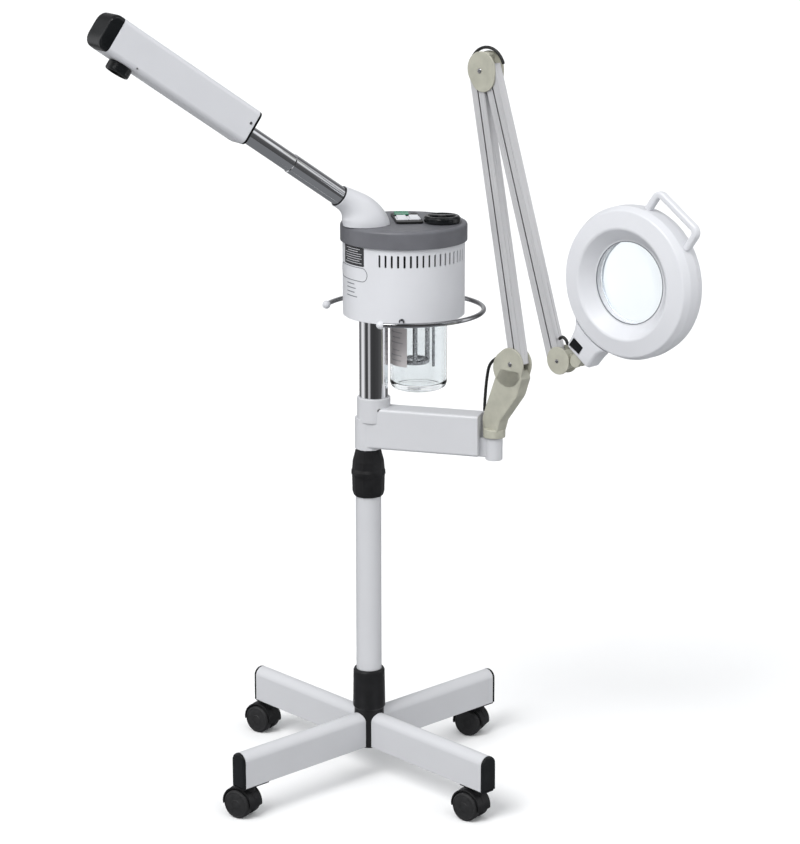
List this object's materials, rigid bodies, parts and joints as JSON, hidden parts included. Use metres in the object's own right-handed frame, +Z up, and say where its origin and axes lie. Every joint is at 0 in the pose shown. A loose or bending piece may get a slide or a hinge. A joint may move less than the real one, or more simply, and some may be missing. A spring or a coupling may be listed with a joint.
{
  "type": "facial steamer",
  "caption": "Salon facial steamer on a rolling four-leg stand with a glass boiler jar, swivelling spray arm and a folding ring-light magnifying lamp.",
  "frame": {"origin": "middle of the bounding box on the floor, so the casters stand on z = 0", "axes": "+Z up, -Y towards the operator side with the spray head at -X and the magnifying lamp at +X"},
  "size_m": [0.954, 0.594, 1.3594],
  "materials": {
    "white_paint": "gloss",
    "white_plastic": "satin",
    "black_plastic": "satin",
    "caster_plastic": "satin",
    "caster_tread": "satin",
    "grey_plastic": "satin",
    "chrome": "polished",
    "heater_steel": "satin",
    "jar_glass": "polished",
    "lens_glass": "polished",
    "tube_glass": "satin",
    "green_plastic": "gloss",
    "beige_plastic": "satin",
    "bar_aluminium": "satin",
    "lead_rubber": "satin"
  },
  "bodies": {
    "base": {"base_hub": "black_plastic", "leg_1": "white_paint", "leg_2": "white_paint", "leg_3": "white_paint", "leg_4": "white_paint", "leg_cap_1": "black_plastic", "leg_cap_2": "black_plastic", "leg_cap_3": "black_plastic", "leg_cap_4": "black_plastic", "column_lower_tube": "white_paint"},
    "caster_1": {"caster_fork_1": "caster_plastic"},
    "wheel_1_near": {"wheel_1_near": "caster_tread"},
    "wheel_1_far": {"wheel_1_far": "caster_tread"},
    "caster_2": {"caster_fork_2": "caster_plastic"},
    "wheel_2_near": {"wheel_2_near": "caster_tread"},
    "wheel_2_far": {"wheel_2_far": "caster_tread"},
    "caster_3": {"caster_fork_3": "caster_plastic"},
    "wheel_3_near": {"wheel_3_near": "caster_tread"},
    "wheel_3_far": {"wheel_3_far": "caster_tread"},
    "caster_4": {"caster_fork_4": "caster_plastic"},
    "wheel_4_near": {"wheel_4_near": "caster_tread"},
    "wheel_4_far": {"wheel_4_far": "caster_tread"},
    "collar": {"height_collar": "black_plastic"},
    "carriage": {"column_inner_tube": "chrome", "bracket": "white_paint", "steamer_post": "chrome", "housing_floor": "grey_plastic", "housing_shell": "white_plastic", "housing_lid": "grey_plastic", "control_panel": "black_plastic", "heater": "heater_steel", "guard_ring": "chrome", "ring_tip_front": "white_plastic", "ring_tip_rear": "white_plastic"},
    "jar": {"boiler_jar": "jar_glass"},
    "power_rocker": {"switch_power": "green_plastic"},
    "steam_rocker": {"switch_steam": "white_plastic"},
    "ozone_rocker": {"switch_ozone": "white_plastic"},
    "filler_lid": {"filler_cap": "black_plastic"},
    "steam_arm": {"steam_elbow": "white_plastic", "steam_tube": "chrome"},
    "spray_head": {"spray_body": "white_plastic", "spray_rear_cap": "black_plastic", "spray_front_cap": "black_plastic"},
    "nozzle": {"spray_nozzle": "black_plastic"},
    "lamp_base": {"lamp_yoke": "beige_plastic", "lead_base": "lead_rubber"},
    "lower_a": {"lower_bar_a": "bar_aluminium"},
    "lower_b": {"lower_bar_b": "bar_aluminium"},
    "elbow": {"lamp_elbow": "beige_plastic", "lead_elbow": "lead_rubber"},
    "upper_a": {"upper_bar_a": "bar_aluminium"},
    "upper_b": {"upper_bar_b": "bar_aluminium"},
    "knuckle": {"lamp_knuckle": "beige_plastic", "lead_head": "lead_rubber"},
    "neck": {"lamp_neck_block": "beige_plastic"},
    "lamp_head": {"lamp_shell": "white_plastic", "lamp_lens": "lens_glass", "lamp_ring_tube": "tube_glass"},
    "lamp_rocker": {"lamp_switch": "black_plastic"}
  },
  "joints": [
    {"name": "caster_1_swivel", "type": "hinge", "parent": "base", "child": "caster_1", "pos_m": [-0.2462, -0.12951, 0], "axis": [0, 0, 1], "continuous": true},
    {"name": "wheel_1_near_spin", "type": "hinge", "parent": "caster_1", "child": "wheel_1_near", "pos_m": [-0.25977, -0.12103, 0.025], "axis": [0.5299, 0.848, 0], "continuous": true},
    {"name": "wheel_1_far_spin", "type": "hinge", "parent": "caster_1", "child": "wheel_1_far", "pos_m": [-0.25977, -0.12103, 0.025], "axis": [0.5299, 0.848, 0], "continuous": true},
    {"name": "caster_2_swivel", "type": "hinge", "parent": "base", "child": "caster_2", "pos_m": [0.14106, -0.14303, 0], "axis": [0, 0, 1], "continuous": true},
    {"name": "wheel_2_near_spin", "type": "hinge", "parent": "caster_2", "child": "wheel_2_near", "pos_m": [0.12845, -0.13318, 0.025], "axis": [0.6157, 0.788, 0], "continuous": true},
    {"name": "wheel_2_far_spin", "type": "hinge", "parent": "caster_2", "child": "wheel_2_far", "pos_m": [0.12845, -0.13318, 0.025], "axis": [0.6157, 0.788, 0], "continuous": true},
    {"name": "caster_3_swivel", "type": "hinge", "parent": "base", "child": "caster_3", "pos_m": [0.15458, 0.24423, 0], "axis": [0, 0, 1], "continuous": true},
    {"name": "wheel_3_near_spin", "type": "hinge", "parent": "caster_3", "child": "wheel_3_near", "pos_m": [0.13997, 0.25073, 0.025], "axis": [0.4067, 0.9135, 0], "continuous": true},
    {"name": "wheel_3_far_spin", "type": "hinge", "parent": "caster_3", "child": "wheel_3_far", "pos_m": [0.13997, 0.25073, 0.025], "axis": [0.4067, 0.9135, 0], "continuous": true},
    {"name": "caster_4_swivel", "type": "hinge", "parent": "base", "child": "caster_4", "pos_m": [-0.23268, 0.25775, 0], "axis": [0, 0, 1], "continuous": true},
    {"name": "wheel_4_near_spin", "type": "hinge", "parent": "caster_4", "child": "wheel_4_near", "pos_m": [-0.24594, 0.2667, 0.025], "axis": [0.5592, 0.829, 0], "continuous": true},
    {"name": "wheel_4_far_spin", "type": "hinge", "parent": "caster_4", "child": "wheel_4_far", "pos_m": [-0.24594, 0.2667, 0.025], "axis": [0.5592, 0.829, 0], "continuous": true},
    {"name": "collar_twist", "type": "hinge", "parent": "base", "child": "collar", "pos_m": [-0.04581, 0.05736, 0.55], "axis": [0, 0, 1], "range_deg": [0, 120]},
    {"name": "height_slide", "type": "slide", "parent": "base", "child": "carriage", "axis": [0, 0, 1], "range_m": [0, 0.3]},
    {"name": "jar_twist", "type": "hinge", "parent": "carriage", "child": "jar", "pos_m": [0.04019, 0.09636, 0.697], "axis": [0, 0, 1], "range_deg": [0, 45]},
    {"name": "power_switch", "type": "hinge", "parent": "carriage", "child": "power_rocker", "pos_m": [0.01094, 0.12743, 0.993], "axis": [0.9925, 0.1219, 0], "range_deg": [-10, 0]},
    {"name": "steam_switch", "type": "hinge", "parent": "carriage", "child": "steam_rocker", "pos_m": [0.01123, 0.08817, 0.993], "axis": [0.9925, 0.1219, 0], "range_deg": [-8, 0]},
    {"name": "ozone_switch", "type": "hinge", "parent": "carriage", "child": "ozone_rocker", "pos_m": [0.03207, 0.09073, 0.993], "axis": [0.9925, 0.1219, 0], "range_deg": [-8, 0]},
    {"name": "filler_lift", "type": "slide", "parent": "carriage", "child": "filler_lid", "axis": [0, 0, 1], "range_m": [0, 0.06]},
    {"name": "steam_arm_swivel", "type": "hinge", "parent": "carriage", "child": "steam_arm", "pos_m": [-0.04391, 0.05336, 0.99], "axis": [0, 0, 1], "range_deg": [-50, 50]},
    {"name": "spray_head_roll", "type": "hinge", "parent": "steam_arm", "child": "spray_head", "pos_m": [-0.24089, -0.06037, 1.15883], "axis": [-0.7137, -0.4121, 0.5664], "range_deg": [-45, 45]},
    {"name": "nozzle_turn", "type": "hinge", "parent": "spray_head", "child": "nozzle", "pos_m": [-0.41433, -0.1605, 1.29646], "axis": [0.4905, 0.2832, 0.8241], "range_deg": [-90, 90]},
    {"name": "lamp_swivel", "type": "hinge", "parent": "carriage", "child": "lamp_base", "pos_m": [0.16716, -0.00532, 0.64], "axis": [0, 0, 1], "range_deg": [-40, 60]},
    {"name": "lower_arm_lean", "type": "hinge", "parent": "lamp_base", "child": "lower_a", "pos_m": [0.19928, -0.03528, 0.78179], "axis": [0.682, 0.7314, 0], "range_deg": [0, 48]},
    {"name": "lower_arm_link", "type": "hinge", "parent": "lamp_base", "child": "lower_b", "pos_m": [0.21117, -0.04637, 0.77682], "axis": [0.682, 0.7314, 0], "range_deg": [0, 48]},
    {"name": "elbow_level", "type": "hinge", "parent": "lower_a", "child": "elbow", "pos_m": [0.1305, 0.02887, 1.25249], "axis": [0.682, 0.7314, 0], "range_deg": [-48, 0]},
    {"name": "upper_arm_lean", "type": "hinge", "parent": "elbow", "child": "upper_a", "pos_m": [0.15406, 0.00689, 1.24389], "axis": [0.682, 0.7314, 0], "range_deg": [-56, 0]},
    {"name": "upper_arm_link", "type": "hinge", "parent": "elbow", "child": "upper_b", "pos_m": [0.1627, -0.00116, 1.25611], "axis": [0.682, 0.7314, 0], "range_deg": [-56, 0]},
    {"name": "knuckle_level", "type": "hinge", "parent": "upper_a", "child": "knuckle", "pos_m": [0.26079, -0.09264, 0.78661], "axis": [0.682, 0.7314, 0], "range_deg": [0, 56]},
    {"name": "lamp_tilt", "type": "hinge", "parent": "knuckle", "child": "neck", "pos_m": [0.2988, -0.12808, 0.797], "axis": [0.682, 0.7314, 0], "range_deg": [-5, 60]},
    {"name": "lamp_roll", "type": "hinge", "parent": "neck", "child": "lamp_head", "pos_m": [0.2988, -0.12808, 0.797], "axis": [0.4309, -0.4018, 0.808], "range_deg": [-25, 25]},
    {"name": "lamp_switch_rock", "type": "hinge", "parent": "lamp_head", "child": "lamp_rocker", "pos_m": [0.29282, -0.14684, 0.82552], "axis": [0.4309, -0.4018, 0.808], "range_deg": [0, 10]}
  ],
  "couplings": [
    {"joint": "lower_arm_link", "follows": "lower_arm_lean", "ratio": 1},
    {"joint": "elbow_level", "follows": "lower_arm_lean", "ratio": -1},
    {"joint": "upper_arm_link", "follows": "upper_arm_lean", "ratio": 1},
    {"joint": "knuckle_level", "follows": "upper_arm_lean", "ratio": -1}
  ]
}
